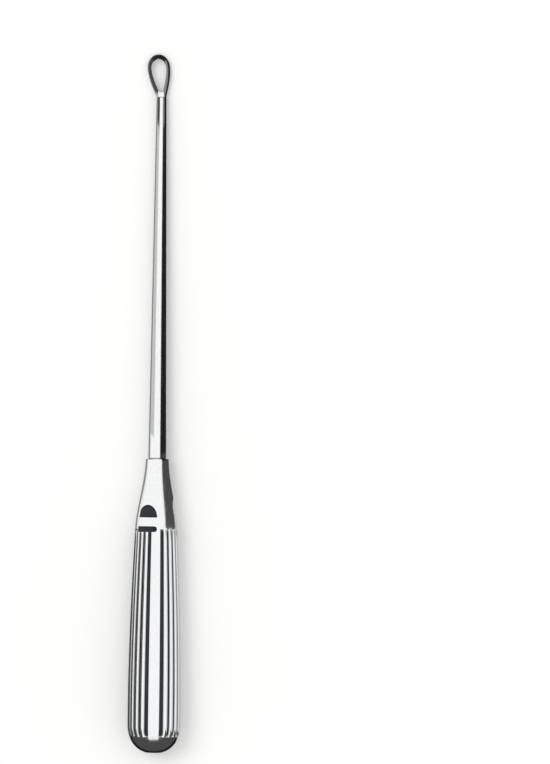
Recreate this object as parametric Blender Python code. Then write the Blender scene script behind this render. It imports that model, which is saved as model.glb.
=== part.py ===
"""Uterine curette: a hollow ribbed steel handle, and a shaft forged in one piece with its scraping loop.

Metres, +Z up. The instrument is drawn along Y, from the butt of the handle at 0 to the tip of the
loop, with its face up. It is then laid down as it rests on a table: on the flat band down the
handle's back and on the thin end of the shaft.
"""

import math

import bmesh
import bpy

# Whole instrument
OVERALL_LENGTH = 0.2800
SEAT_GAP = 0.0003

# Handle, with its depth measured over the flat bands
HANDLE_LENGTH = 0.1175
HANDLE_WIDTH = 0.0212
HANDLE_DEPTH = 0.0150
WIDEST_FROM_BUTT = 0.0180
BUTT_LENGTH = 0.0120
BUTT_FLAT_WIDTH = 0.0056
BUTT_SQUARENESS = 2.3
BAND_WIDTH = 0.0042

# Ribs on both flanks of the handle
RIB_COUNT = 9
RIB_DEPTH = 0.0008
RIB_ARC = math.radians(60)
GROOVE_WIDTH = 0.0003
BAND_GROOVE_WIDTH = 0.0010
RIB_FOOT_FROM_BUTT = 0.0065
RIB_RUN_OUT = 0.0018

# Neck, from the top of the ribs to the rim round the shaft
NECK_LENGTH = 0.0281
NECK_TOP_WIDTH = 0.0092
NECK_FOOT_WIDTH = 0.0170
NECK_FOOT_SLOPE = 0.047
RIM_ROUND = 0.0005

# Index mark, left of the face: a round-topped pocket, a plain land and a cross groove
INDEX_WIDTH = 0.0074
INDEX_FROM_AXIS = 0.0033
INDEX_FLOOR_HEIGHT = 0.0032
POCKET_HEIGHT = 0.0051
LAND_WIDTH = 0.0035
CROSS_GROOVE_WIDTH = 0.0023

# Tang and shaft
TANG_DIAMETER = 0.0060
TANG_LENGTH = 0.0260
TANG_CHAMFER = 0.0005
SHAFT_FOOT_DIAMETER = 0.0071
SHAFT_TIP_DIAMETER = 0.0039
SHAFT_EDGE = 0.0002

# Scraping loop, from the step at the end of the shaft to its tip
LOOP_LENGTH = 0.0174
LOOP_WIDTH = 0.0090
LOOP_DEPTH = 0.0024
LOOP_WIDEST_FROM_TIP = 0.0055
LOOP_LEAN = math.radians(6)
RIM_BREADTH_AT_TIP = 0.0020
RIM_BREADTH_AT_SIDE = 0.0015
WEB_LENGTH = 0.0021
OPENING_FOOT_RADIUS = 0.0011
LOOP_FOOT_RADIUS = 0.00165
LOOP_FOOT_IN_SHAFT = 0.0003
LIMB_SLOPE = math.radians(18)

# How finely curves are drawn
BUTT_STEPS = 8
BODY_STEPS = 5
RUN_OUT_STEPS = 3
NECK_STEPS = 6
RIM_STEPS = 2
RIB_STEPS = 4
ROUND_SIDES = 32
TAPER_STEPS = 6
TIP_STEPS = 16
LIMB_STEPS = 7
FOOT_STEPS = 6
POCKET_STEPS = 16
GROOVE_STEPS = 8

# Sizes worked out from those above
RIBS_TOP = HANDLE_LENGTH - NECK_LENGTH
BAND_EDGE = math.asin(BAND_WIDTH / HANDLE_WIDTH)
SHAFT_FOOT = HANDLE_LENGTH + SEAT_GAP
LOOP_REACH = (LOOP_LENGTH - LOOP_WIDEST_FROM_TIP) * math.cos(LOOP_LEAN) + math.hypot(
    LOOP_WIDTH / 2 * math.sin(LOOP_LEAN), LOOP_WIDEST_FROM_TIP * math.cos(LOOP_LEAN)
)
LOOP_STEP = OVERALL_LENGTH - LOOP_REACH
BACK_SLOPE = (HANDLE_DEPTH - SHAFT_TIP_DIAMETER) / 2 / (LOOP_STEP - WIDEST_FROM_BUTT)


def clear_scene():
    for thing in list(bpy.data.objects):
        bpy.data.objects.remove(thing, do_unlink=True)


def steel(name, shade, roughness):
    """Polished stainless steel, as a material of its own for each piece."""
    material = bpy.data.materials.new(name)
    material.use_nodes = True
    shader = material.node_tree.nodes["Principled BSDF"]
    shader.inputs["Base Color"].default_value = (*shade, 1.0)
    shader.inputs["Metallic"].default_value = 1.0
    shader.inputs["Roughness"].default_value = roughness
    return material


def new_object(name, points, faces, material=None):
    """A mesh object with its faces turned outwards and its crisp edges marked."""
    mesh = bpy.data.meshes.new(name)
    mesh.from_pydata(points, [], faces)
    shape = bmesh.new()
    shape.from_mesh(mesh)
    bmesh.ops.recalc_face_normals(shape, faces=shape.faces)
    shape.to_mesh(mesh)
    shape.free()
    mesh.shade_smooth()
    mesh.set_sharp_from_angle(angle=math.radians(35))
    thing = bpy.data.objects.new(name, mesh)
    bpy.context.collection.objects.link(thing)
    if material:
        mesh.materials.append(material)
    return thing


def loft(rings, closed=False):
    """Points and faces of a skin over rings of equal size, capped at both ends or run round to the first."""
    size = len(rings[0])
    points = [point for ring in rings for point in ring]
    spans = len(rings) if closed else len(rings) - 1
    faces = []
    for row in range(spans):
        here = row * size
        there = (row + 1) % len(rings) * size
        for i in range(size):
            j = (i + 1) % size
            faces.append((here + i, here + j, there + j, there + i))
    if not closed:
        faces.append(tuple(range(size)))
        faces.append(tuple(range(len(points) - size, len(points))))
    return points, faces


def turned(name, profile, material=None):
    """A round piece along Y, from (station, radius) pairs."""
    turns = [2 * math.pi * side / ROUND_SIDES for side in range(ROUND_SIDES)]
    rings = [[(r * math.cos(a), y, r * math.sin(a)) for a in turns] for y, r in profile]
    return new_object(name, *loft(rings), material)


def evenly(start, end, steps):
    """Stations from start to end, with the end left for the next stretch."""
    return [start + (end - start) * i / steps for i in range(steps)]


def cubic(start, end, station):
    """Height of the smooth curve between two (station, height, slope) points."""
    (a, low, low_slope), (b, high, high_slope) = start, end
    t = (station - a) / (b - a)
    ease = t * t * (3 - 2 * t)
    swing = (b - a) * t * (1 - t) * (low_slope * (1 - t) - high_slope * t)
    return low + (high - low) * ease + swing


def add_boolean(thing, operation, other):
    """Joins the other shape to this one or cuts it away, and keeps it as a guide."""
    step = thing.modifiers.new(other.name, "BOOLEAN")
    step.operation = operation
    step.solver = "EXACT"
    step.object = other
    other.hide_render = True
    other.display_type = "WIRE"


# Handle


def butt_share(station):
    """How full the rounded butt is, from its end flat to 1 where the body starts."""
    flat = BUTT_FLAT_WIDTH / HANDLE_WIDTH
    reach = (1 - flat**BUTT_SQUARENESS) ** (1 / BUTT_SQUARENESS)
    reach *= max(0.0, 1 - station / BUTT_LENGTH)
    return (1 - reach**BUTT_SQUARENESS) ** (1 / BUTT_SQUARENESS)


def rim_loss(station):
    """How far the rounded rim at the top of the neck has drawn in."""
    past = max(0.0, station - (HANDLE_LENGTH - RIM_ROUND))
    return RIM_ROUND - math.sqrt(max(0.0, RIM_ROUND**2 - past**2))


def half_width(station):
    widest = (WIDEST_FROM_BUTT, HANDLE_WIDTH / 2, 0.0)
    neck_foot = (RIBS_TOP, NECK_FOOT_WIDTH / 2, -NECK_FOOT_SLOPE)
    neck_top = (HANDLE_LENGTH, NECK_TOP_WIDTH / 2, 0.0)
    if station < WIDEST_FROM_BUTT:
        return HANDLE_WIDTH / 2 * butt_share(station)
    if station < RIBS_TOP:
        return cubic(widest, neck_foot, station)
    return cubic(neck_foot, neck_top, station) - rim_loss(station)


def back_depth(station):
    """Half depth down to the plane that touches the handle's back and the shaft's thin end."""
    return SHAFT_TIP_DIAMETER / 2 + (LOOP_STEP - station) * BACK_SLOPE


def half_depth(station):
    """Half depth over the flat bands, straight along the ribs and drawn in along the neck."""
    neck_foot = (RIBS_TOP, back_depth(RIBS_TOP), -BACK_SLOPE)
    flat_at_top = math.sqrt((NECK_TOP_WIDTH / 2) ** 2 - half_band(RIBS_TOP) ** 2)
    neck_top = (HANDLE_LENGTH, flat_at_top, 0.0)
    if station < RIBS_TOP:
        return back_depth(station) * butt_share(station)
    return cubic(neck_foot, neck_top, station) - rim_loss(station)


def half_band(station):
    """Half width of the flat band, which narrows with the body and runs on straight up the neck."""
    return half_width(min(station, RIBS_TOP)) * math.sin(BAND_EDGE)


def groove_depth(station):
    """Full along the ribs, with a round run-out at both ends."""
    inside = min(station - RIB_FOOT_FROM_BUTT, RIBS_TOP - station)
    share = min(1.0, max(0.0, inside / RIB_RUN_OUT))
    return RIB_DEPTH * math.sqrt(1 - (1 - share) ** 2)


def flank_points(station):
    """Right flank of one section, from the front band's edge round to the back's."""
    groove = groove_depth(station)
    half_groove = GROOVE_WIDTH / HANDLE_WIDTH
    first_rib = BAND_EDGE + 2 * BAND_GROOVE_WIDTH / HANDLE_WIDTH
    pitch = (math.pi - 2 * first_rib) / RIB_COUNT
    rib_reach = pitch / 2 - half_groove
    marks = [(BAND_EDGE, 0.0), (BAND_EDGE + half_groove, groove)]
    for rib in range(RIB_COUNT):
        crown = first_rib + pitch * (rib + 0.5)
        for step in range(RIB_STEPS + 1):
            lean = RIB_ARC * (2 * step / RIB_STEPS - 1)
            angle = crown + rib_reach * math.sin(lean) / math.sin(RIB_ARC)
            drop = (1 - math.cos(lean)) / (1 - math.cos(RIB_ARC))
            marks.append((angle, groove * drop))
    marks += [(math.pi - BAND_EDGE - half_groove, groove), (math.pi - BAND_EDGE, 0.0)]
    inner = half_band(station)
    across = (half_width(station) - inner) / (1 - math.sin(BAND_EDGE))
    deep = half_depth(station) / math.cos(BAND_EDGE)
    points = []
    for angle, sunk in marks:
        normal_x = deep * math.sin(angle)
        normal_z = across * math.cos(angle)
        share = sunk / math.hypot(normal_x, normal_z)
        x = half_width(station) - across * (1 - math.sin(angle)) - normal_x * share
        z = deep * math.cos(angle) - normal_z * share
        points.append((x, station, z))
    return points


def handle_section(station):
    right = flank_points(station)
    left = [(-x, y, z) for x, y, z in reversed(right)]
    return right + left


def handle_stations():
    """From the butt up, closer together where the shape turns."""
    butt = [BUTT_LENGTH * (1 - math.cos(math.pi / 2 * i / BUTT_STEPS)) for i in range(BUTT_STEPS)]
    run_out_foot = RIBS_TOP - RIB_RUN_OUT
    rim_foot = HANDLE_LENGTH - RIM_ROUND
    return [
        *butt,
        BUTT_LENGTH,
        *evenly(WIDEST_FROM_BUTT, run_out_foot, BODY_STEPS),
        *evenly(run_out_foot, RIBS_TOP, RUN_OUT_STEPS),
        *evenly(RIBS_TOP, rim_foot, NECK_STEPS),
        *evenly(rim_foot, HANDLE_LENGTH, RIM_STEPS),
        HANDLE_LENGTH,
    ]


def index_cutter(name, outline):
    """A cutter that goes straight down into the face, as deep as the index mark."""
    heights = (INDEX_FLOOR_HEIGHT, HANDLE_WIDTH)
    return new_object(name, *loft([[(x, y, z) for x, y in outline] for z in heights]))


def pocket_cutter():
    """The pocket: half an oval, with its straight wall towards the butt."""
    wall = RIBS_TOP + CROSS_GROOVE_WIDTH / 2 + LAND_WIDTH
    outline = []
    for step in range(POCKET_STEPS + 1):
        turn = math.pi * step / POCKET_STEPS
        x = INDEX_WIDTH / 2 * math.cos(turn) - INDEX_FROM_AXIS
        outline.append((x, wall + POCKET_HEIGHT * math.sin(turn)))
    return index_cutter("pocket_cutter", outline)


def cross_groove_cutter():
    """The groove across the top of the ribs, run in from the left and round at its end."""
    radius = CROSS_GROOVE_WIDTH / 2
    end = INDEX_WIDTH / 2 - INDEX_FROM_AXIS - radius
    outline = [(-HANDLE_WIDTH, RIBS_TOP + radius), (-HANDLE_WIDTH, RIBS_TOP - radius)]
    for step in range(GROOVE_STEPS + 1):
        turn = math.pi * (step / GROOVE_STEPS - 0.5)
        outline.append((end + radius * math.cos(turn), RIBS_TOP + radius * math.sin(turn)))
    return index_cutter("cross_groove_cutter", outline)


def socket_cutter():
    """The bore for the tang, open at the rim of the neck."""
    radius = TANG_DIAMETER / 2 + SEAT_GAP
    bottom = SHAFT_FOOT - TANG_LENGTH - SEAT_GAP
    return turned("socket_cutter", [(bottom, radius), (HANDLE_LENGTH + RIM_ROUND, radius)])


def make_handle():
    """Body and neck in one skin, with the socket and the index mark cut in."""
    material = steel("polished_steel_handle", (0.60, 0.60, 0.61), 0.16)
    rings = [handle_section(station) for station in handle_stations()]
    handle = new_object("handle", *loft(rings), material)
    cutters = [socket_cutter(), pocket_cutter(), cross_groove_cutter()]
    for cutter in cutters:
        add_boolean(handle, "DIFFERENCE", cutter)
    return [handle, *cutters]


# Shaft and loop


def loop_outline(half, tip, widest, foot_centre, foot_radius):
    """Closed egg: a half ellipse round the tip, two limbs that close in, and a round foot."""
    tip_turns = [math.pi * step / TIP_STEPS for step in range(TIP_STEPS + 1)]
    points = [(half * math.cos(a), widest + (tip - widest) * math.sin(a)) for a in tip_turns]
    end_x = foot_radius * math.cos(LIMB_SLOPE)
    end_y = foot_centre - foot_radius * math.sin(LIMB_SLOPE)
    pull = math.hypot(half - end_x, widest - end_y)
    limb = []
    for step in range(1, LIMB_STEPS):
        t = step / LIMB_STEPS
        ease = t * t * (3 - 2 * t)
        leave = pull * t * (1 - t) ** 2
        arrive = pull * t * t * (1 - t)
        x = half + (end_x - half) * ease + arrive * math.sin(LIMB_SLOPE)
        y = widest + (end_y - widest) * ease - leave + arrive * math.cos(LIMB_SLOPE)
        limb.append((x, y))
    points += [(-x, y) for x, y in limb]
    sweep = math.pi - 2 * LIMB_SLOPE
    for step in range(FOOT_STEPS + 1):
        turn = math.pi + LIMB_SLOPE + sweep * step / FOOT_STEPS
        points.append((foot_radius * math.cos(turn), foot_centre + foot_radius * math.sin(turn)))
    points += reversed(limb)
    return points


def loop_section():
    """One cut through the rim: breadth from its outer side, and depth from its middle plane.

    The front is bevelled from the outer side up to the keen inner edge.
    """
    return [
        (0.00, -0.25),
        (0.00, 0.00),
        (0.30, 0.22),
        (1.00, 0.50),
        (1.00, -0.42),
        (0.85, -0.50),
        (0.20, -0.50),
    ]


def make_loop():
    """The rim swept round between its outer outline and the opening's."""
    widest = LOOP_LENGTH - LOOP_WIDEST_FROM_TIP
    outer = loop_outline(LOOP_WIDTH / 2, LOOP_LENGTH, widest, -LOOP_FOOT_IN_SHAFT, LOOP_FOOT_RADIUS)
    inner = loop_outline(
        LOOP_WIDTH / 2 - RIM_BREADTH_AT_SIDE,
        LOOP_LENGTH - RIM_BREADTH_AT_TIP,
        widest,
        WEB_LENGTH + OPENING_FOOT_RADIUS,
        OPENING_FOOT_RADIUS,
    )
    rings = []
    for (x, y), (in_x, in_y) in zip(outer, inner):
        cut = [(x + (in_x - x) * u, y + (in_y - y) * u, LOOP_DEPTH * z) for u, z in loop_section()]
        rings.append(cut)
    loop = new_object("loop_form", *loft(rings, closed=True))
    loop.location.y = LOOP_STEP
    loop.rotation_euler.z = LOOP_LEAN
    return loop


def make_shaft_and_loop():
    """Tang, tapered shaft and loop, as one forging."""
    material = steel("polished_steel_shaft", (0.62, 0.62, 0.63), 0.12)
    tang = TANG_DIAMETER / 2
    foot = SHAFT_FOOT_DIAMETER / 2
    tip = SHAFT_TIP_DIAMETER / 2
    tang_end = SHAFT_FOOT - TANG_LENGTH
    profile = [
        (tang_end, tang - TANG_CHAMFER),
        (tang_end + TANG_CHAMFER, tang),
        (SHAFT_FOOT, tang),
        (SHAFT_FOOT, foot - SHAFT_EDGE),
    ]
    taper_end = LOOP_STEP - SHAFT_EDGE
    for step in range(TAPER_STEPS + 1):
        share = step / TAPER_STEPS
        start = SHAFT_FOOT + SHAFT_EDGE
        profile.append((start + (taper_end - start) * share, foot + (tip - foot) * share))
    profile.append((LOOP_STEP, tip - SHAFT_EDGE))
    shaft = turned("shaft_and_loop", profile, material)
    loop = make_loop()
    add_boolean(shaft, "UNION", loop)
    return [shaft, loop]


# Resting place


def lay_down(things):
    """Tips the instrument until its back and the shaft's end touch the table, and centres it."""
    rest = bpy.data.objects.new("rest", None)
    bpy.context.collection.objects.link(rest)
    tilt = math.atan(BACK_SLOPE)
    rest.rotation_euler.x = -tilt
    rest.location.y = -OVERALL_LENGTH * math.cos(tilt) / 2
    rest.location.z = SHAFT_TIP_DIAMETER / 2 * math.cos(tilt) + LOOP_STEP * math.sin(tilt)
    for thing in things:
        thing.parent = rest


clear_scene()
lay_down(make_handle() + make_shaft_and_loop())
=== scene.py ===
"""Looks of the uterine curette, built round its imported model. Metres, +Z up.

The instrument lies on its back along Y, with the butt of the handle at -Y and the loop at +Y. Each
piece is modelled along Y from the butt at 0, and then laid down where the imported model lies.
"""

import math

import bmesh
import bpy
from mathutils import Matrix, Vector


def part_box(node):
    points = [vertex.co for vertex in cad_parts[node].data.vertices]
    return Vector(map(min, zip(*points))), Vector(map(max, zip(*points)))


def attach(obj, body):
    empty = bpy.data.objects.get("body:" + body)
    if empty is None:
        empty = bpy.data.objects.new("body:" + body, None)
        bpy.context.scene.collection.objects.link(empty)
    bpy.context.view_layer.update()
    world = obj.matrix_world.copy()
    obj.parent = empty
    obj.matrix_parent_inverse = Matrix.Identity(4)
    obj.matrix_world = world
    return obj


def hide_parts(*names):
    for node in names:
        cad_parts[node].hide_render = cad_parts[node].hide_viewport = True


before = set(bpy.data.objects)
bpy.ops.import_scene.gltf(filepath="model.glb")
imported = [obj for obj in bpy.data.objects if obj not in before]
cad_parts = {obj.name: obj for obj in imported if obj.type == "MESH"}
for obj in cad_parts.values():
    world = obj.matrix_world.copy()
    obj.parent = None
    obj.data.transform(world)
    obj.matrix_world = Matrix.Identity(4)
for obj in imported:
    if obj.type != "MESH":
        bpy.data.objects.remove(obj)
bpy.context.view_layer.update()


# Handle
# A wide hollow grip, pressed from stainless sheet as two shells that are brazed edge to edge. Both
# flanks are fluted for a wet glove, a plain flat band runs down the front and the back, and the top
# draws in to a smooth neck round the shaft.

handle_low, handle_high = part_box("handle")

HANDLE_LENGTH = 0.1175
HANDLE_WIDTH = handle_high.x - handle_low.x
HANDLE_DEPTH = 0.0150
WIDEST_FROM_BUTT = 0.0180
BUTT_LENGTH = 0.0120
BUTT_FLAT_WIDTH = 0.0056
BUTT_FLAT_MARGIN = 0.0003
BUTT_SQUARENESS = 2.3

RIB_COUNT = 9
RIB_DEPTH = 0.0008
RIB_ARC = math.radians(60)
RIB_SHARE = 0.92
RIB_FOOT_FROM_BUTT = 0.0065
RIB_RUN_OUT = 0.0018

NECK_LENGTH = 0.0281
NECK_TOP_WIDTH = 0.0092
NECK_FOOT_WIDTH = 0.0170
NECK_FOOT_SLOPE = 0.047
RIM_ROUND = 0.0005
ARRIS_PERCENT = 40
SOCKET_DIAMETER = 0.0066
SOCKET_SHOWN = 0.0020

# The step where the loop starts, and the slope of the back from the handle to the thin end of the
# shaft, where it touches the table
OVERALL_LENGTH = 0.2800
SHAFT_TIP_DIAMETER = 0.0039
LOOP_LENGTH = 0.0174
LOOP_WIDTH = 0.0090
LOOP_WIDEST_FROM_TIP = 0.0055
LOOP_LEAN = math.radians(6)
LOOP_REACH = (LOOP_LENGTH - LOOP_WIDEST_FROM_TIP) * math.cos(LOOP_LEAN) + math.hypot(
    LOOP_WIDTH / 2 * math.sin(LOOP_LEAN), LOOP_WIDEST_FROM_TIP * math.cos(LOOP_LEAN)
)
LOOP_STEP = OVERALL_LENGTH - LOOP_REACH
BACK_SLOPE = (HANDLE_DEPTH - SHAFT_TIP_DIAMETER) / 2 / (LOOP_STEP - WIDEST_FROM_BUTT)

# The ring of points round the handle: steps across each band, each groove beside it and each rib
BAND_STEPS = 20
BAND_GROOVE_STEPS = 7
STEPS_PER_RIB = 14
RING_STEPS = 2 * (BAND_STEPS + 2 * BAND_GROOVE_STEPS + RIB_COUNT * STEPS_PER_RIB)
BAND_EDGE = math.pi * BAND_STEPS / RING_STEPS

# The stations along the handle: steps round each curve, and how far apart they stand between
BUTT_STEPS = 18
RUN_OUT_STEPS = 9
RIM_STEPS = 5
BUTT_SPACING = 0.0006
WIDEST_SPACING = 0.0015
RIB_SPACING = 0.0030
NECK_SPACING = 0.0007

RIBS_TOP = HANDLE_LENGTH - NECK_LENGTH
TINY = 1e-6


def cubic(start, end, station):
    """Height of the smooth curve between two (station, height, slope) points."""
    (a, low, low_slope), (b, high, high_slope) = start, end
    t = (station - a) / (b - a)
    ease = t * t * (3 - 2 * t)
    swing = (b - a) * t * (1 - t) * (low_slope * (1 - t) - high_slope * t)
    return low + (high - low) * ease + swing


def butt_share(station):
    """How full the rounded butt is, from its end flat to 1 where the body starts."""
    flat = BUTT_FLAT_WIDTH / HANDLE_WIDTH
    reach = (1 - flat**BUTT_SQUARENESS) ** (1 / BUTT_SQUARENESS)
    reach *= max(0.0, 1 - station / BUTT_LENGTH)
    return (1 - reach**BUTT_SQUARENESS) ** (1 / BUTT_SQUARENESS)


def rim_loss(station):
    """How far the rounded rim at the top of the neck has drawn in."""
    past = max(0.0, station - (HANDLE_LENGTH - RIM_ROUND))
    return RIM_ROUND - math.sqrt(max(0.0, RIM_ROUND**2 - past**2))


def half_width(station):
    """Half width over the flanks: round at the butt, widest near it, and narrowest at the rim."""
    widest = (WIDEST_FROM_BUTT, HANDLE_WIDTH / 2, 0.0)
    neck_foot = (RIBS_TOP, NECK_FOOT_WIDTH / 2, -NECK_FOOT_SLOPE)
    neck_top = (HANDLE_LENGTH, NECK_TOP_WIDTH / 2, 0.0)
    if station < WIDEST_FROM_BUTT:
        return HANDLE_WIDTH / 2 * butt_share(station)
    if station < RIBS_TOP:
        return cubic(widest, neck_foot, station)
    return cubic(neck_foot, neck_top, station) - rim_loss(station)


def half_band(station):
    """Half width of the flat band, which narrows with the body and runs on straight up the neck."""
    return half_width(min(station, RIBS_TOP)) * math.sin(BAND_EDGE)


def half_depth(station):
    """Half depth over the flat bands, straight along the ribs and drawn in along the neck."""
    straight = SHAFT_TIP_DIAMETER / 2 + (LOOP_STEP - station) * BACK_SLOPE
    if station < RIBS_TOP:
        return straight * butt_share(station)
    depth_at_ribs_top = SHAFT_TIP_DIAMETER / 2 + (LOOP_STEP - RIBS_TOP) * BACK_SLOPE
    neck_foot = (RIBS_TOP, depth_at_ribs_top, -BACK_SLOPE)
    flat_at_top = math.sqrt((NECK_TOP_WIDTH / 2) ** 2 - half_band(RIBS_TOP) ** 2)
    return cubic(neck_foot, (HANDLE_LENGTH, flat_at_top, 0.0), station) - rim_loss(station)


def spread(start, end, step):
    """Stations from start to end, about a step apart, with the end left for the next stretch."""
    count = max(1, round((end - start) / step))
    return [start + (end - start) * i / count for i in range(count)]


def close_up_to_start(start, end, count):
    """Stations at even turns of a quarter circle that stands square on the start."""
    return [end - (end - start) * math.cos(math.pi / 2 * i / count) for i in range(count)]


def close_up_to_end(start, end, count):
    """Stations at even turns of a quarter circle that stands square on the end."""
    return [start + (end - start) * math.sin(math.pi / 2 * i / count) for i in range(count)]


def pick(piece, wanted):
    """In edit mode, selects just the points whose place passes the test."""
    bpy.ops.mesh.select_all(action="DESELECT")
    shape = bmesh.from_edit_mesh(piece.data)
    for point in shape.verts:
        point.select_set(wanted(point.co))
    shape.select_flush(True)
    bmesh.update_edit_mesh(piece.data)


def start_piece(name):
    """Names the primitive that was just added, and opens it with all of it selected."""
    piece = bpy.context.object
    piece.name = piece.data.name = name
    bpy.ops.object.mode_set(mode="EDIT")
    bpy.ops.mesh.select_all(action="SELECT")
    return piece


def add_ring(name, sides, radius, station):
    """A filled ring that faces along Y, open in edit mode, to be drawn out station by station."""
    bpy.ops.mesh.primitive_circle_add(
        vertices=sides,
        radius=radius,
        fill_type="NGON",
        location=(0, station, 0),
        rotation=(math.pi / 2, 0, 0),
    )
    bpy.ops.object.transform_apply(location=True, rotation=True, scale=True)
    return start_piece(name)


def draw_out(distance):
    """Draws the selected ring out along Y as a new stretch of skin."""
    bpy.ops.mesh.extrude_region_move(TRANSFORM_OT_translate={"value": (0, distance, 0)})


def resize(across, up, centre):
    """Scales what is selected across and up from a centre."""
    bpy.ops.transform.resize(value=(across, 1, up), center_override=centre)


def close_piece():
    """Turns all faces outwards and leaves edit mode."""
    bpy.ops.mesh.select_all(action="SELECT")
    bpy.ops.mesh.normals_make_consistent(inside=False)
    bpy.ops.object.mode_set(mode="OBJECT")


def handle_blank():
    """The plain skin: a ring with two flats, drawn out from the butt and sized at each station."""
    full_depth = RIB_FOOT_FROM_BUTT + RIB_RUN_OUT
    stations = [
        *close_up_to_start(0.0, RIB_FOOT_FROM_BUTT, BUTT_STEPS),
        *close_up_to_start(RIB_FOOT_FROM_BUTT, full_depth, RUN_OUT_STEPS),
        *spread(full_depth, BUTT_LENGTH, BUTT_SPACING),
        *spread(BUTT_LENGTH, WIDEST_FROM_BUTT, WIDEST_SPACING),
        *spread(WIDEST_FROM_BUTT, RIBS_TOP - RIB_RUN_OUT, RIB_SPACING),
        *close_up_to_end(RIBS_TOP - RIB_RUN_OUT, RIBS_TOP, RUN_OUT_STEPS),
        *spread(RIBS_TOP, HANDLE_LENGTH - RIM_ROUND, NECK_SPACING),
        *close_up_to_end(HANDLE_LENGTH - RIM_ROUND, HANDLE_LENGTH, RIM_STEPS),
        HANDLE_LENGTH,
    ]
    radius = half_width(0.0)
    blank = add_ring("handle_shell", RING_STEPS, radius, 0.0)
    level = radius * math.cos(BAND_EDGE)
    for side in (1, -1):
        pick(blank, lambda place: place.z * side > level - TINY)
        resize(1, 0, (0, 0, level * side))
    bpy.ops.mesh.select_all(action="SELECT")
    resize(1, half_depth(0.0) / level, (0, 0, 0))
    for here, there in zip(stations, stations[1:]):
        draw_out(there - here)
        deeper = half_depth(there) / half_depth(here)
        if there <= RIBS_TOP + TINY:
            resize(half_width(there) / half_width(here), deeper, (0, there, 0))
            continue
        band = half_band(there)
        wider = (half_width(there) - band) / (half_width(here) - band)
        resize(1, deeper, (0, there, 0))
        for side in (1, -1):
            pick(blank, lambda place: place.y > there - TINY and place.x * side > band + TINY)
            resize(wider, 1, (band * side, there, 0))
        pick(blank, lambda place: place.y > there - TINY)
    return blank


def soften_arrises(blank):
    """Breaks the four long edges between flats and flanks, by a share of the step beside them."""
    shape = bmesh.from_edit_mesh(blank.data)

    def on_arris(point):
        across = abs(abs(point.co.x) - half_band(point.co.y))
        up = abs(abs(point.co.z) - half_depth(point.co.y))
        return max(across, up) < 3 * TINY

    bpy.ops.mesh.select_all(action="DESELECT")
    bpy.ops.mesh.select_mode(type="EDGE")
    for edge in shape.edges:
        start, end = edge.verts
        if abs(start.co.y - end.co.y) > TINY and on_arris(start) and on_arris(end):
            edge.select_set(True)
    bmesh.update_edit_mesh(blank.data)
    bpy.ops.mesh.bevel(
        offset_type="PERCENT", offset_pct=ARRIS_PERCENT, segments=1, affect="EDGES"
    )
    bpy.ops.mesh.select_mode(type="VERT")


def keep_butt_flat(blank):
    """Insets the end flat, so that its shading isn't drawn into the round of the butt."""
    pick(blank, lambda place: place.y < TINY)
    bpy.ops.mesh.inset(thickness=BUTT_FLAT_MARGIN)


def flute_depth(place):
    """Share of the full flute depth at a place: 0 on bands and rib crowns, 1 in a flute."""
    across = abs(place.x) / half_width(place.y)
    up = place.z * math.cos(BAND_EDGE) / half_depth(place.y)
    steps = (math.atan2(across, up) - BAND_EDGE) * RING_STEPS / (2 * math.pi)
    flank_steps = RING_STEPS / 2 - BAND_STEPS
    inside = min(place.y - RIB_FOOT_FROM_BUTT, RIBS_TOP - place.y)
    if inside <= 0 or not 0.5 < steps < flank_steps - 0.5:
        return 0.0
    run_out = math.sqrt(1 - (1 - min(1.0, inside / RIB_RUN_OUT)) ** 2)
    if not BAND_GROOVE_STEPS < steps < flank_steps - BAND_GROOVE_STEPS:
        return run_out
    ribs = (steps - BAND_GROOVE_STEPS) / STEPS_PER_RIB
    from_crown = min(1.0, abs(2 * (ribs % 1) - 1) / RIB_SHARE)
    lean = math.asin(from_crown * math.sin(RIB_ARC))
    return run_out * (1 - math.cos(lean)) / (1 - math.cos(RIB_ARC))


def press_flutes(blank):
    """Sinks the flutes, and leaves their depth on the mesh for the matt finish and the painted shade
    in them to follow.
    """
    depths = [flute_depth(point.co) for point in blank.data.vertices]
    flutes = blank.vertex_groups.new(name="flutes")
    for index, depth in enumerate(depths):
        flutes.add([index], depth, "REPLACE")
    sink = blank.modifiers.new("press", "DISPLACE")
    sink.vertex_group = "flutes"
    sink.strength = -RIB_DEPTH
    sink.mid_level = 0.0
    blank.data.attributes.new("flute", "FLOAT", "POINT").data.foreach_set("value", depths)
    bpy.ops.object.modifier_apply(modifier="press")
    blank.vertex_groups.clear()


def use_tool(piece, operation, other):
    """Cuts the other shape out of this one or joins it on, and mends the faces that this leaves."""
    bpy.ops.object.select_all(action="DESELECT")
    bpy.context.view_layer.objects.active = piece
    piece.select_set(True)
    step = piece.modifiers.new("tool", "BOOLEAN")
    step.operation = operation
    step.solver = "EXACT"
    step.material_mode = "TRANSFER"
    step.object = other
    bpy.ops.object.modifier_apply(modifier="tool")
    bpy.data.objects.remove(other, do_unlink=True)
    bpy.ops.object.mode_set(mode="EDIT")
    bpy.ops.mesh.select_all(action="SELECT")
    bpy.ops.mesh.remove_doubles(threshold=TINY)
    bpy.ops.mesh.select_all(action="DESELECT")
    bpy.ops.mesh.select_face_by_sides(number=4, type="GREATER")
    bpy.ops.mesh.quads_convert_to_tris(quad_method="BEAUTY", ngon_method="BEAUTY")
    bpy.ops.mesh.select_all(action="SELECT")
    bpy.ops.mesh.dissolve_degenerate(threshold=TINY)
    bpy.ops.object.mode_set(mode="OBJECT")


def linear(code):
    """Linear colour of an sRGB hex value."""
    shares = [int(code[i : i + 2], 16) / 255 for i in (1, 3, 5)]
    return [s / 12.92 if s <= 0.04045 else ((s + 0.055) / 1.055) ** 2.4 for s in shares] + [1.0]


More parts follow.
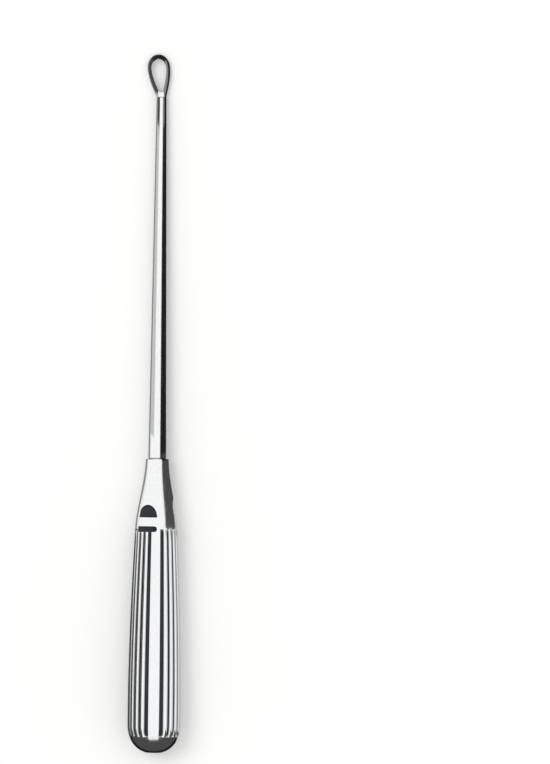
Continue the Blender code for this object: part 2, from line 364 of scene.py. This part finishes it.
def add_node(owner, kind, settings=None, links=None):
    """Adds a node, sets its properties and sockets, and links {socket: output} pairs into it."""
    tree = owner.node_tree
    node = tree.nodes.new(kind)
    for name, value in (settings or {}).items():
        if isinstance(name, str) and hasattr(node, name):
            setattr(node, name, value)
        else:
            node.inputs[name].default_value = value
    for name, output in (links or {}).items():
        tree.links.new(output, node.inputs[name])
    return node


def new_material(name):
    """A material with no nodes yet."""
    material = bpy.data.materials.new(name)
    material.use_nodes = True
    material.node_tree.nodes.clear()
    return material


# Stainless steel, polished on a sisal and then a cotton wheel that is run lengthwise. It mirrors the
# room with a soft edge, the last wheel marks lie along the piece, a few hairline scratches cross
# them, and handling leaves a slight uneven haze. Real wheel marks are some 0.02 mm wide: they are
# drawn four times as coarse, so that they show at all.
HANDLE_ROUGHNESS = 0.16
WHEEL_MARK = 0.00008
WHEEL_MARK_LENGTH = 0.0160
MARK_DEPTH = 0.00001
MARK_STRENGTH = 0.35
SCRATCH_SPACING = 0.0025
SCRATCH_TURN = math.radians(24)
SCRATCH_STRETCH = 0.08
SCRATCH_REACH = 0.008
SCRATCH_DEPTH = 0.6
HAZE_PATCH = 0.0090
HAZE_SHARE = 0.3
BRIGHT_STEEL = "#FCFCFD"
WHEEL_MARK_GREY = "#ECEDEE"

# The wheel rides on the ribs, so the steel turns matt between these two shares of a flute's depth,
# where it also takes painted shade
DULL_FROM = 0.2
DULL_TO = 0.7
# Painted shade: the colour that the flutes darken to, standing in for the shade down in them
FLUTE_GREY = "#3A3B3E"
FLUTE_ROUGHNESS = 0.2

# Values that a noise pattern mostly keeps between
NOISE_RANGE = {"From Min": 0.35, "From Max": 0.65}


def dull_flutes(material, shader, colour, gloss):
    """Turns the steel matt down into each flute, and paints shade there by turning its colour dark
    grey.
    """
    flute = add_node(material, "ShaderNodeAttribute", {"attribute_name": "flute"})
    depth = add_node(
        material,
        "ShaderNodeMapRange",
        {"From Min": DULL_FROM, "From Max": DULL_TO},
        {"Value": flute.outputs["Fac"]},
    )
    # Painted shade: the colour turns dark grey down in each flute, where shade falls
    greyed = add_node(
        material,
        "ShaderNodeMixRGB",
        {"Color2": linear(FLUTE_GREY)},
        {"Fac": depth.outputs["Result"], "Color1": colour.outputs["Color"]},
    )
    matt = add_node(
        material,
        "ShaderNodeMath",
        {"operation": "MULTIPLY_ADD", 1: FLUTE_ROUGHNESS},
        {0: depth.outputs["Result"], 2: gloss.outputs["Result"]},
    )
    material.node_tree.links.new(greyed.outputs["Color"], shader.inputs["Base Color"])
    material.node_tree.links.new(matt.outputs["Value"], shader.inputs["Roughness"])


def polished_steel(name, roughness, flutes):
    """Steel as the polishing wheel leaves it, and where it has flutes, matt and with painted shade
    down in them.
    """
    material = new_material(name)
    place = add_node(material, "ShaderNodeTexCoord").outputs["Object"]
    lengthwise = add_node(
        material,
        "ShaderNodeMapping",
        {"Scale": (1, WHEEL_MARK / WHEEL_MARK_LENGTH, 1)},
        {"Vector": place},
    )
    marks = add_node(
        material,
        "ShaderNodeTexNoise",
        {"Scale": 1 / WHEEL_MARK, "Detail": 3.0, "Roughness": 0.65},
        {"Vector": lengthwise.outputs["Vector"]},
    )
    colour_share = add_node(
        material, "ShaderNodeMapRange", NOISE_RANGE, {"Value": marks.outputs["Fac"]}
    )
    colour = add_node(
        material,
        "ShaderNodeMixRGB",
        {"Color1": linear(WHEEL_MARK_GREY), "Color2": linear(BRIGHT_STEEL)},
        {"Fac": colour_share.outputs["Result"]},
    )
    haze = add_node(
        material,
        "ShaderNodeTexNoise",
        {"Scale": 1 / HAZE_PATCH, "Detail": 2.0},
        {"Vector": place},
    )
    gloss = add_node(
        material,
        "ShaderNodeMapRange",
        {
            **NOISE_RANGE,
            "To Min": (1 - HAZE_SHARE) * roughness,
            "To Max": (1 + HAZE_SHARE) * roughness,
        },
        {"Value": haze.outputs["Fac"]},
    )
    slanted = add_node(
        material,
        "ShaderNodeMapping",
        {"Rotation": (0, 0, SCRATCH_TURN), "Scale": (1, SCRATCH_STRETCH, 1)},
        {"Vector": place},
    )
    drift = add_node(
        material,
        "ShaderNodeTexNoise",
        {"Scale": 1 / SCRATCH_SPACING, "Detail": 0.0},
        {"Vector": slanted.outputs["Vector"]},
    )
    # A scratch runs wherever this slow drift passes its middle value
    off_line = add_node(
        material,
        "ShaderNodeMath",
        {"operation": "SUBTRACT", 1: 0.5},
        {0: drift.outputs["Fac"]},
    )
    distance = add_node(
        material, "ShaderNodeMath", {"operation": "ABSOLUTE"}, {0: off_line.outputs["Value"]}
    )
    scratch = add_node(
        material,
        "ShaderNodeMapRange",
        {"From Min": 0.0, "From Max": SCRATCH_REACH, "To Min": -SCRATCH_DEPTH, "To Max": 0.0},
        {"Value": distance.outputs["Value"]},
    )
    height = add_node(
        material,
        "ShaderNodeMath",
        {"operation": "ADD"},
        {0: marks.outputs["Fac"], 1: scratch.outputs["Result"]},
    )
    bump = add_node(
        material,
        "ShaderNodeBump",
        {"Strength": MARK_STRENGTH, "Distance": MARK_DEPTH},
        {"Height": height.outputs["Value"]},
    )
    shader = add_node(
        material,
        "ShaderNodeBsdfPrincipled",
        {"Metallic": 1.0},
        {
            "Base Color": colour.outputs["Color"],
            "Roughness": gloss.outputs["Result"],
            "Normal": bump.outputs["Normal"],
        },
    )
    # Where there are flutes, shade is painted down into them
    if flutes:
        dull_flutes(material, shader, colour, gloss)
    add_node(material, "ShaderNodeOutputMaterial", {}, {"Surface": shader.outputs["BSDF"]})
    return material


def lay_down(piece):
    """Tips a finished piece with the whole instrument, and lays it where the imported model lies."""
    tilt = math.atan(BACK_SLOPE)
    piece.rotation_euler.x = -tilt
    piece.location.y = -OVERALL_LENGTH * math.cos(tilt) / 2
    piece.location.z = SHAFT_TIP_DIAMETER / 2 * math.cos(tilt) + LOOP_STEP * math.sin(tilt)
    bpy.ops.object.select_all(action="DESELECT")
    bpy.context.view_layer.objects.active = piece
    piece.select_set(True)
    bpy.ops.object.transform_apply(location=True, rotation=True, scale=True)


bpy.ops.object.select_all(action="DESELECT")
handle = handle_blank()
soften_arrises(handle)
keep_butt_flat(handle)
close_piece()
press_flutes(handle)
handle.data.materials.append(
    polished_steel("polished_stainless_handle", HANDLE_ROUGHNESS, flutes=True)
)


# Index mark
# It tells the hand which way the loop faces: a round-topped pocket, a plain land and a cross groove,
# cut straight down into the left of the neck with an end mill. The cuts keep the dull matt skin that
# the pickling bath leaves, because no polishing wheel gets into them, and their colour is darkened
# to a deep grey as painted shade in the recesses.

INDEX_WIDTH = 0.0074
INDEX_FROM_AXIS = 0.0033
INDEX_FLOOR_HEIGHT = 0.0032
POCKET_HEIGHT = 0.0051
LAND_WIDTH = 0.0035
CROSS_GROOVE_WIDTH = 0.0023
MILL_SIDES = 128
SOCKET_SIDES = 96
SMOOTH_UNDER = math.radians(32)

# Stainless steel, pickled in acid: matt, with a fine even etch that takes the shine off, and
# darkened to a deep grey as painted shade in the cuts
PICKLED_GREY = "#3C3D40"
PICKLED_ROUGHNESS = 0.42
ETCH_GRAIN = 0.0001
ETCH_DEPTH = 0.00002
ETCH_STRENGTH = 0.3


def pickled_steel():
    """Steel as the acid bath leaves it, darkened as painted shade for the index mark's cuts."""
    material = new_material("pickled_stainless_painted_shade")
    place = add_node(material, "ShaderNodeTexCoord").outputs["Object"]
    etch = add_node(
        material,
        "ShaderNodeTexNoise",
        {"Scale": 1 / ETCH_GRAIN, "Detail": 2.0},
        {"Vector": place},
    )
    bump = add_node(
        material,
        "ShaderNodeBump",
        {"Strength": ETCH_STRENGTH, "Distance": ETCH_DEPTH},
        {"Height": etch.outputs["Fac"]},
    )
    # The deep grey base colour is painted shade for the recesses of the cuts
    shader = add_node(
        material,
        "ShaderNodeBsdfPrincipled",
        {"Base Color": linear(PICKLED_GREY), "Metallic": 1.0, "Roughness": PICKLED_ROUGHNESS},
        {"Normal": bump.outputs["Normal"]},
    )
    add_node(material, "ShaderNodeOutputMaterial", {}, {"Surface": shader.outputs["BSDF"]})
    return material


def end_mill(name, radius, across, station):
    """A round cutter that stands on the floor of the index mark and reaches clear of the skin."""
    middle = INDEX_FLOOR_HEIGHT + HANDLE_WIDTH / 2
    bpy.ops.mesh.primitive_cylinder_add(
        vertices=MILL_SIDES, radius=radius, depth=HANDLE_WIDTH, location=(across, station, middle)
    )
    bpy.ops.object.transform_apply(location=True, rotation=True, scale=True)
    return start_piece(name)


def pocket_tool(pickled):
    """A cutter drawn out to an oval, less its half towards the butt."""
    wall = RIBS_TOP + CROSS_GROOVE_WIDTH / 2 + LAND_WIDTH
    tool = end_mill("pocket_tool", POCKET_HEIGHT, -INDEX_FROM_AXIS, wall)
    bpy.ops.transform.resize(
        value=(INDEX_WIDTH / 2 / POCKET_HEIGHT, 1, 1), center_override=(-INDEX_FROM_AXIS, wall, 0)
    )
    bpy.ops.mesh.bisect(
        plane_co=(0, wall, 0), plane_no=(0, 1, 0), use_fill=True, clear_inner=True
    )
    close_piece()
    tool.data.materials.append(pickled)
    return tool


def cross_groove_tool(pickled):
    """A cutter run out past the left flank, and so round only at its right end."""
    radius = CROSS_GROOVE_WIDTH / 2
    end = INDEX_WIDTH / 2 - INDEX_FROM_AXIS - radius
    tool = end_mill("cross_groove_tool", radius, end, RIBS_TOP)
    pick(tool, lambda place: place.x < end - TINY)
    bpy.ops.transform.translate(value=(-HANDLE_WIDTH, 0, 0))
    close_piece()
    tool.data.materials.append(pickled)
    return tool


def socket_tool():
    """The bore in the top of the neck that takes the shaft's tang."""
    bpy.ops.mesh.primitive_cylinder_add(
        vertices=SOCKET_SIDES,
        radius=SOCKET_DIAMETER / 2,
        depth=2 * SOCKET_SHOWN,
        location=(0, HANDLE_LENGTH, 0),
        rotation=(math.pi / 2, 0, 0),
    )
    bpy.ops.object.transform_apply(location=True, rotation=True, scale=True)
    return bpy.context.object


# The cuts take matt pickled steel, whose deep grey is painted shade
pickled = pickled_steel()
for tool in (pocket_tool(pickled), cross_groove_tool(pickled), socket_tool()):
    use_tool(handle, "DIFFERENCE", tool)
bpy.ops.object.shade_smooth_by_angle(angle=SMOOTH_UNDER)
lay_down(handle)
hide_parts("handle")
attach(handle, "root")


# Shaft and loop
# One forging: a round shaft that tapers from the handle, and at its end a closed egg-shaped loop,
# ground to a keen inner edge. The foot of the shaft is turned down to a tang, which sits in the
# handle.

TANG_DIAMETER = 0.0060
SEAT_GAP = 0.0003
SHAFT_FOOT_DIAMETER = 0.0071
SHAFT_EDGE = 0.0002
SHAFT_SIDES = 128
SHAFT_SPACING = 0.006
SHAFT_ROUGHNESS = 0.12

LOOP_DEPTH = 0.0024
RIM_BREADTH_AT_TIP = 0.0020
RIM_BREADTH_AT_SIDE = 0.0015
WEB_LENGTH = 0.0021
OPENING_FOOT_RADIUS = 0.0011
LOOP_FOOT_RADIUS = 0.00165
LOOP_FOOT_IN_SHAFT = 0.0003
LIMB_SLOPE = math.radians(18)

# The reach of a curve's handle in a quarter circle, as a share of the radius, and the steps between
# knots
QUARTER_CIRCLE = 0.5523
EGG_STEPS = 20

# One cut through the loop's rim: breadth from its outer side, and height as a share of its depth. No
# two points in a row have one height, because rings in one plane can be bridged inside out.
RIM_SECTION = [
    (0.00, -0.28),
    (0.00, -0.06),
    (0.02, 0.00),
    (0.10, 0.09),
    (0.30, 0.22),
    (0.60, 0.36),
    (0.97, 0.50),
    (1.00, 0.48),
    (1.00, -0.42),
    (0.96, -0.48),
    (0.85, -0.50),
    (0.22, -0.49),
    (0.08, -0.44),
]


def shaft_blank():
    """The turned shaft: a ring drawn out from inside the handle to the step at the loop."""
    shaft_foot = HANDLE_LENGTH + SEAT_GAP
    foot = SHAFT_FOOT_DIAMETER / 2
    tip = SHAFT_TIP_DIAMETER / 2
    start = shaft_foot + SHAFT_EDGE
    end = LOOP_STEP - SHAFT_EDGE
    taper = (tip - foot) / (end - start)
    profile = [
        (shaft_foot - SOCKET_SHOWN, TANG_DIAMETER / 2),
        (shaft_foot, TANG_DIAMETER / 2),
        (shaft_foot, foot - SHAFT_EDGE),
        *((y, foot + taper * (y - start)) for y in spread(start, end, SHAFT_SPACING)),
        (end, tip),
        (LOOP_STEP, tip - SHAFT_EDGE),
    ]
    first_station, first_radius = profile[0]
    blank = add_ring("forged_shaft_and_loop", SHAFT_SIDES, first_radius, first_station)
    for (here, radius), (there, next_radius) in zip(profile, profile[1:]):
        draw_out(there - here)
        resize(next_radius / radius, next_radius / radius, (0, there, 0))
    close_piece()
    return blank


def egg_ring(share, height):
    """A closed egg outline: the rim's outer side at share 0, the opening's at share 1."""
    half = LOOP_WIDTH / 2 - RIM_BREADTH_AT_SIDE * share
    widest = LOOP_LENGTH - LOOP_WIDEST_FROM_TIP
    tip = LOOP_LENGTH - RIM_BREADTH_AT_TIP * share
    round_foot = LOOP_FOOT_RADIUS + (OPENING_FOOT_RADIUS - LOOP_FOOT_RADIUS) * share
    foot = (WEB_LENGTH + OPENING_FOOT_RADIUS + LOOP_FOOT_IN_SHAFT) * share - LOOP_FOOT_IN_SHAFT
    lean_x = math.sin(LIMB_SLOPE)
    lean_y = math.cos(LIMB_SLOPE)
    end_x = round_foot * lean_y
    end_y = foot - round_foot * lean_x
    pull = math.hypot(half - end_x, widest - end_y) / 3
    tip_across = half * QUARTER_CIRCLE
    tip_along = (tip - widest) * QUARTER_CIRCLE
    foot_pull = 4 / 3 * math.tan((math.pi / 2 - LIMB_SLOPE) / 4) * round_foot
    up_limb = (lean_x * pull, lean_y * pull)
    down_limb = (lean_x * foot_pull, -lean_y * foot_pull)
    knots = [
        ((half, widest), (0, -pull), (0, tip_along)),
        ((0, tip), (tip_across, 0), (-tip_across, 0)),
        ((-half, widest), (0, tip_along), (0, -pull)),
        ((-end_x, end_y), (-up_limb[0], up_limb[1]), down_limb),
        ((0, foot - round_foot), (-foot_pull, 0), (foot_pull, 0)),
        ((end_x, end_y), (-down_limb[0], down_limb[1]), up_limb),
    ]
    bpy.ops.curve.primitive_bezier_circle_add(radius=half, location=(0, 0, 0))
    ring = bpy.context.object
    ring.data.resolution_u = EGG_STEPS
    spline = ring.data.splines[0]
    spline.bezier_points.add(len(knots) - len(spline.bezier_points))
    for knot, (place, before, after) in zip(spline.bezier_points, knots):
        knot.handle_left_type = knot.handle_right_type = "FREE"
        knot.co = (*place, height)
        knot.handle_left = (place[0] + before[0], place[1] + before[1], height)
        knot.handle_right = (place[0] + after[0], place[1] + after[1], height)
    bpy.ops.object.convert(target="MESH")
    return bpy.context.object


def is_ring_edge(edge, size):
    """Whether both ends of an edge lie on the same egg ring."""
    start, end = edge.verts
    return start.index // size == end.index // size


def loop_form():
    """Egg rings, one for each point of the rim's section, bridged one to the next and all round."""
    rings = [egg_ring(share, LOOP_DEPTH * height) for share, height in RIM_SECTION]
    size = len(rings[0].data.vertices)
    bpy.ops.object.select_all(action="DESELECT")
    for ring in rings:
        ring.select_set(True)
    bpy.context.view_layer.objects.active = rings[0]
    bpy.ops.object.join()
    loop = start_piece("loop_form")
    for row in range(len(RIM_SECTION)):
        bpy.ops.mesh.select_all(action="DESELECT")
        shape = bmesh.from_edit_mesh(loop.data)
        shape.verts.ensure_lookup_table()
        for ring in (row, (row + 1) % len(RIM_SECTION)):
            for point in shape.verts[ring * size : (ring + 1) * size]:
                point.select_set(True)
        chosen = [edge for edge in shape.edges if all(point.select for point in edge.verts)]
        for edge in chosen:
            edge.select_set(not edge.link_faces or is_ring_edge(edge, size))
        bmesh.update_edit_mesh(loop.data)
        bpy.ops.mesh.bridge_edge_loops()
    close_piece()
    loop.rotation_euler.z = LOOP_LEAN
    loop.location.y = LOOP_STEP
    bpy.ops.object.transform_apply(location=True, rotation=True, scale=True)
    return loop


shaft = shaft_blank()
loop = loop_form()
shaft_polish = polished_steel("polished_stainless_shaft", SHAFT_ROUGHNESS, flutes=False)
shaft.data.materials.append(shaft_polish)
loop.data.materials.append(shaft_polish)
use_tool(shaft, "UNION", loop)
bpy.ops.object.shade_smooth_by_angle(angle=SMOOTH_UNDER)
lay_down(shaft)
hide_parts("shaft_and_loop")
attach(shaft, "root")


# Braze
# The tang is fixed in the handle's socket with silver solder, which shows as a thin ring between
# the rim of the neck and the shoulder of the shaft.

BRAZE_THICKNESS = 0.0005
BRAZE_DIAMETER = 0.0064

# Silver solder as it froze: a soft, slightly warm sheen, a little uneven where it ran
BRAZE_SILVER = "#B7B4AC"
BRAZE_ROUGHNESS = 0.35
RUN_WIDTH = 0.000667
RUN_DEPTH = 0.00005
RUN_STRENGTH = 0.3


def silver_solder():
    """Silver solder that froze round the joint."""
    material = new_material("silver_solder")
    place = add_node(material, "ShaderNodeTexCoord").outputs["Object"]
    runs = add_node(
        material,
        "ShaderNodeTexNoise",
        {"Scale": 1 / RUN_WIDTH, "Detail": 2.0},
        {"Vector": place},
    )
    bump = add_node(
        material,
        "ShaderNodeBump",
        {"Strength": RUN_STRENGTH, "Distance": RUN_DEPTH},
        {"Height": runs.outputs["Fac"]},
    )
    shader = add_node(
        material,
        "ShaderNodeBsdfPrincipled",
        {"Base Color": linear(BRAZE_SILVER), "Metallic": 1.0, "Roughness": BRAZE_ROUGHNESS},
        {"Normal": bump.outputs["Normal"]},
    )
    add_node(material, "ShaderNodeOutputMaterial", {}, {"Surface": shader.outputs["BSDF"]})
    return material


bpy.ops.mesh.primitive_torus_add(
    major_segments=96,
    minor_segments=12,
    major_radius=BRAZE_DIAMETER / 2,
    minor_radius=BRAZE_THICKNESS / 2,
    location=(0, HANDLE_LENGTH + SEAT_GAP / 2, 0),
    rotation=(math.pi / 2, 0, 0),
)
bpy.ops.object.transform_apply(location=True, rotation=True, scale=True)
braze = start_piece("braze_ring")
close_piece()
bpy.ops.object.shade_smooth()
braze.data.materials.append(silver_solder())
lay_down(braze)
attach(braze, "root")


# Studio
# A pale paper table under a white sky and a broad soft window, and grey cards round the instrument
# that only its polish mirrors, as they are set up to draw the edges of bright metal.

TABLE_SIZE = 6.0
TABLE_TOP = -0.00005
TABLE_PALE = "#F2F2F1"
TABLE_GLOW = 0.12
NEAR_BLACK = "#222222"
DARK_GREY = "#4A4A4A"
MID_GREY = "#8A8A8A"
LIGHT_GREY = "#C8C8C8"


def table_surface():
    """Pale matt paper. The camera sees it a little brighter, up to white away from the shadow."""
    material = new_material("pale_paper")
    paper = add_node(material, "ShaderNodeBsdfDiffuse", {"Color": linear(TABLE_PALE)})
    rays = add_node(material, "ShaderNodeLightPath")
    glow = add_node(
        material, "ShaderNodeEmission", {"Color": (1, 1, 1, 1), "Strength": TABLE_GLOW}
    )
    both = add_node(
        material,
        "ShaderNodeAddShader",
        {},
        {0: paper.outputs["BSDF"], 1: glow.outputs["Emission"]},
    )
    seen = add_node(
        material,
        "ShaderNodeMixShader",
        {},
        {0: rays.outputs["Is Camera Ray"], 1: paper.outputs["BSDF"], 2: both.outputs["Shader"]},
    )
    add_node(material, "ShaderNodeOutputMaterial", {}, {"Surface": seen.outputs["Shader"]})
    return material


def paint_card(sheet, name, colour):
    """Gives a card one tone that only a mirror sees, and takes it out of the camera's view."""
    sheet.name = name
    material = new_material(name)
    tone = add_node(material, "ShaderNodeEmission", {"Color": linear(colour)})
    add_node(material, "ShaderNodeOutputMaterial", {}, {"Surface": tone.outputs["Emission"]})
    sheet.data.materials.append(material)
    sheet.visible_camera = False
    sheet.visible_diffuse = False
    sheet.visible_shadow = False


def card(name, colour, low, high):
    """A plain card between two corners, which only the polished metal mirrors, at one even tone."""
    middle = [(a + b) / 2 for a, b in zip(low, high)]
    wide, deep, tall = (b - a for a, b in zip(low, high))
    turn = (0, 0, 0)
    if tall:
        turn = (math.pi / 2, 0, math.pi / 2 if deep else 0)
    bpy.ops.mesh.primitive_plane_add(size=1, location=middle, rotation=turn)
    bpy.context.object.scale = (wide or deep, tall or deep, 1)
    paint_card(bpy.context.object, name, colour)


def curved_card(name, colour, radius, station, tall):
    """A half round card that stands round the butt."""
    bpy.ops.mesh.primitive_cylinder_add(
        vertices=96,
        radius=radius,
        depth=tall,
        end_fill_type="NOTHING",
        location=(0, station, tall / 2),
    )
    screen = start_piece(name)
    bpy.ops.mesh.bisect(plane_co=(0, station, 0), plane_no=(0, 1, 0), clear_outer=True)
    bpy.ops.object.mode_set(mode="OBJECT")
    bpy.ops.object.shade_smooth()
    paint_card(screen, name, colour)


# The table top is a hair low, so that it doesn't share one plane with the handle's back
bpy.ops.mesh.primitive_plane_add(size=TABLE_SIZE, location=(0, 0, TABLE_TOP))
table = bpy.context.object
table.name = "table"
table.data.materials.append(table_surface())

# Upright cards stand at SIDE to either side of the instrument, and flat ones lie at LIFT on the
# table. Along it they start and end before the butt, at the butt, where the ribs end, in the middle
# of the neck, at its top, just below the loop and past the tip.
SIDE = 0.030
LIFT = 0.0002
BEFORE_BUTT = -0.170
BUTT_END = -0.137
RIBS_END = -0.051
NECK_MIDDLE = -0.038
NECK_TOP = -0.020
LOOP_FOOT = 0.115
PAST_TIP = 0.165
curved_card("round_the_butt", DARK_GREY, SIDE, BUTT_END, 0.060)
card("right_of_ribs", LIGHT_GREY, (SIDE, BUTT_END, 0), (SIDE, RIBS_END, 0.024))
card("right_of_neck", DARK_GREY, (SIDE, RIBS_END, 0), (SIDE, NECK_TOP, 0.045))
card("right_of_shaft", NEAR_BLACK, (SIDE, NECK_TOP, 0), (SIDE, LOOP_FOOT, 0.045))
card("right_of_loop", NEAR_BLACK, (SIDE, LOOP_FOOT, 0), (SIDE, PAST_TIP, 0.012))
card("above_right_of_loop", MID_GREY, (SIDE, LOOP_FOOT, 0.012), (SIDE, PAST_TIP, 0.050))
card("right_by_ribs", LIGHT_GREY, (0, BUTT_END, LIFT), (SIDE, NECK_MIDDLE, LIFT))
card("right_by_neck", DARK_GREY, (0, NECK_MIDDLE, LIFT), (SIDE, NECK_TOP, LIFT))
card("right_by_shaft", NEAR_BLACK, (0, NECK_TOP, LIFT), (SIDE, PAST_TIP, LIFT))
card("left_of_ribs", DARK_GREY, (-SIDE, BUTT_END, 0), (-SIDE, RIBS_END, 0.030))
card("left_of_shaft", LIGHT_GREY, (-SIDE, -0.012, 0), (-SIDE, LOOP_FOOT, 0.035))
card("left_of_loop", DARK_GREY, (-SIDE, LOOP_FOOT, 0), (-SIDE, PAST_TIP, 0.045))
card("left_by_ribs", DARK_GREY, (-SIDE, BUTT_END, LIFT), (0, RIBS_END, LIFT))
card("left_by_shaft", MID_GREY, (-0.022, RIBS_END, LIFT), (0, PAST_TIP, LIFT))
card("before_the_butt", NEAR_BLACK, (-SIDE, BEFORE_BUTT, LIFT), (SIDE, BUTT_END, LIFT))
card("past_the_tip", NEAR_BLACK, (-SIDE, PAST_TIP, 0), (SIDE, PAST_TIP, 0.040))

# The sky is plain white where it is seen or mirrored, and a little dimmer where it lights the table
SKY_LIGHT = 0.80
world = bpy.data.worlds.new("white_studio")
world.use_nodes = True
world.node_tree.nodes.clear()
bpy.context.scene.world = world
rays = add_node(world, "ShaderNodeLightPath")
mirrored = add_node(
    world,
    "ShaderNodeMath",
    {"operation": "MAXIMUM"},
    {0: rays.outputs["Is Glossy Ray"], 1: rays.outputs["Is Transmission Ray"]},
)
seen = add_node(
    world,
    "ShaderNodeMath",
    {"operation": "MAXIMUM"},
    {0: rays.outputs["Is Camera Ray"], 1: mirrored.outputs["Value"]},
)
strength = add_node(
    world,
    "ShaderNodeMapRange",
    {"To Min": SKY_LIGHT, "To Max": 1.0},
    {"Value": seen.outputs["Value"]},
)
white = add_node(
    world,
    "ShaderNodeBackground",
    {"Color": (1, 1, 1, 1)},
    {"Strength": strength.outputs["Result"]},
)
add_node(world, "ShaderNodeOutputWorld", {}, {"Surface": white.outputs["Background"]})

# The window is high on the upper left, and broad, so that its shadow is soft. It is kept out of the
# steel's reflections, where its edge would draw hard stripes.
WINDOW_BREADTH = math.radians(35)
WINDOW_LIGHT = 0.8
WINDOW_TURN = (math.radians(-18), math.radians(-32), 0)
window = bpy.data.lights.new("window", "SUN")
window.angle = WINDOW_BREADTH
window.energy = WINDOW_LIGHT
lamp = bpy.data.objects.new("window", window)
bpy.context.collection.objects.link(lamp)
lamp.rotation_euler = WINDOW_TURN
lamp.visible_glossy = False


# Camera
# It looks straight down on the face, through a long lens, with the instrument left of the middle
# and turned a little, as it is in the photograph.

PHOTO_CENTRE = (275, 382)
MIDDLE_IN_PHOTO = (157.9, 402.8)
PIXEL = 0.0004009
PHOTO_HEIGHT = 764
LEAN_IN_PHOTO = math.radians(0.66)
MIDDLE_HEIGHT = 0.0048
LENS = 200
SENSOR = 36

right = (PHOTO_CENTRE[0] - MIDDLE_IN_PHOTO[0]) * PIXEL
up = (MIDDLE_IN_PHOTO[1] - PHOTO_CENTRE[1]) * PIXEL
camera = bpy.data.objects.new("camera", bpy.data.cameras.new("camera"))
bpy.context.collection.objects.link(camera)
camera.data.lens = LENS
camera.data.sensor_width = SENSOR
camera.rotation_euler.z = LEAN_IN_PHOTO
camera.location = (
    right * math.cos(LEAN_IN_PHOTO) - up * math.sin(LEAN_IN_PHOTO),
    right * math.sin(LEAN_IN_PHOTO) + up * math.cos(LEAN_IN_PHOTO),
    MIDDLE_HEIGHT + PHOTO_HEIGHT * PIXEL * LENS / SENSOR,
)
bpy.context.scene.camera = camera
bpy.context.scene.view_settings.view_transform = "Standard"
